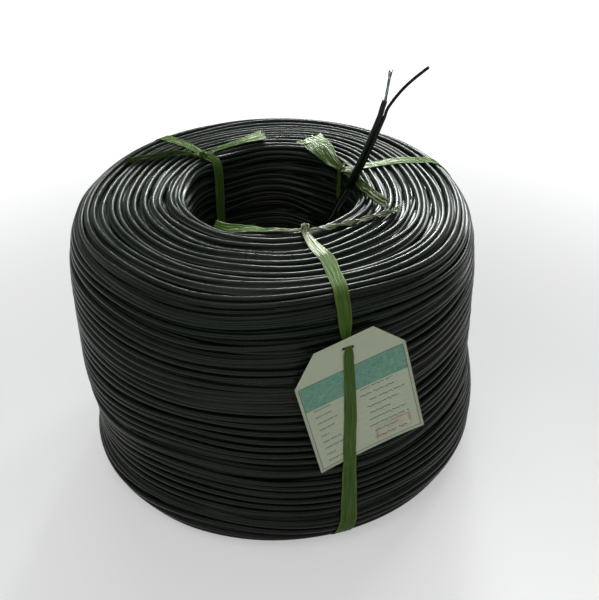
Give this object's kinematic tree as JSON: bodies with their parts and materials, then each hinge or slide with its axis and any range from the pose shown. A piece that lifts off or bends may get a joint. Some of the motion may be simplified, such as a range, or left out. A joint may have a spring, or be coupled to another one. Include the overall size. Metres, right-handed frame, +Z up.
{
  "type": "coil of telephone cable",
  "caption": "Tied coil of black figure-8 telephone drop cable with an open bore, film ties, a card tag and a stripped free end.",
  "frame": {"origin": "middle of the coil's base, on the floor it stands on", "axes": "+Z up the bore, -Y towards the front, +X to the right as seen from the front"},
  "size_m": [0.3719, 0.3681, 0.3619],
  "materials": {
    "cable_jacket": "black polyethylene jacket, smooth with a low sheen and light dust",
    "conductor": "thin coloured polyethylene insulation on copper conductors",
    "film": "green split polypropylene film, creased lengthwise, paler where it is knotted",
    "card": "pale green-white uncoated card with a plain printed band and ruled rows"
  },
  "bodies": {
    "root": {"cable_coil": "cable_jacket", "cable_end": "cable_jacket", "conductors": "conductor", "tie_front": "film", "tie_right": "film", "tie_left": "film", "label_tag": "card"}
  },
  "joints": []
}
